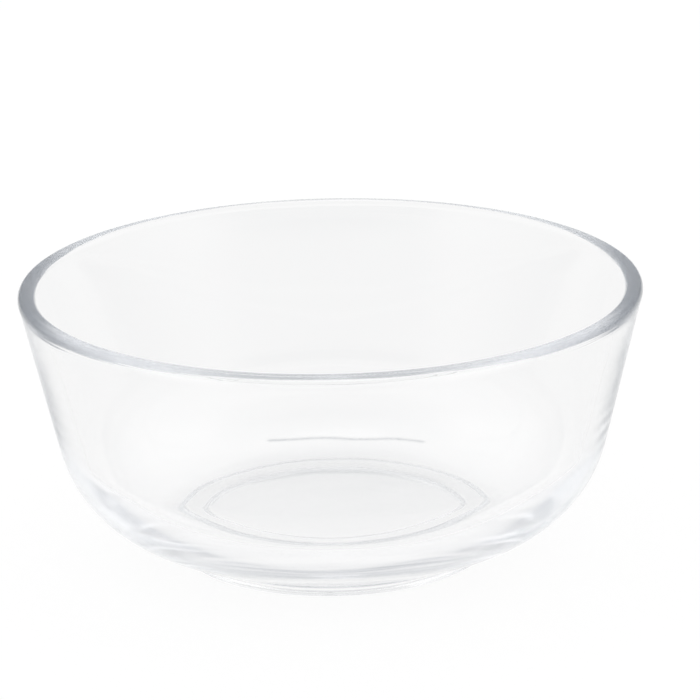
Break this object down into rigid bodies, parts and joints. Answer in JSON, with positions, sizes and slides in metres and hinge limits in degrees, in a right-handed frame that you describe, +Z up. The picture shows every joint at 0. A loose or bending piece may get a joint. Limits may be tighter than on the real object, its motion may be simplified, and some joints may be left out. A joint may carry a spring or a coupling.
{
  "type": "dessert bowl",
  "caption": "Round clear glass dessert bowl with a rounded lip, steep tapering wall, tight lower bend, thick flat floor and a low foot ring, for serving single portions.",
  "frame": {"origin": "centre of the foot ring, on the surface that the bowl stands on", "axes": "+Z up along the bowl's axis of revolution; the bowl is round, so +X and +Y are any two level directions at right angles"},
  "size_m": [0.115, 0.115, 0.051],
  "materials": {
    "clear_glass": "clear, smooth, fire-polished"
  },
  "bodies": {
    "root": {"bowl": "clear_glass"}
  },
  "joints": []
}
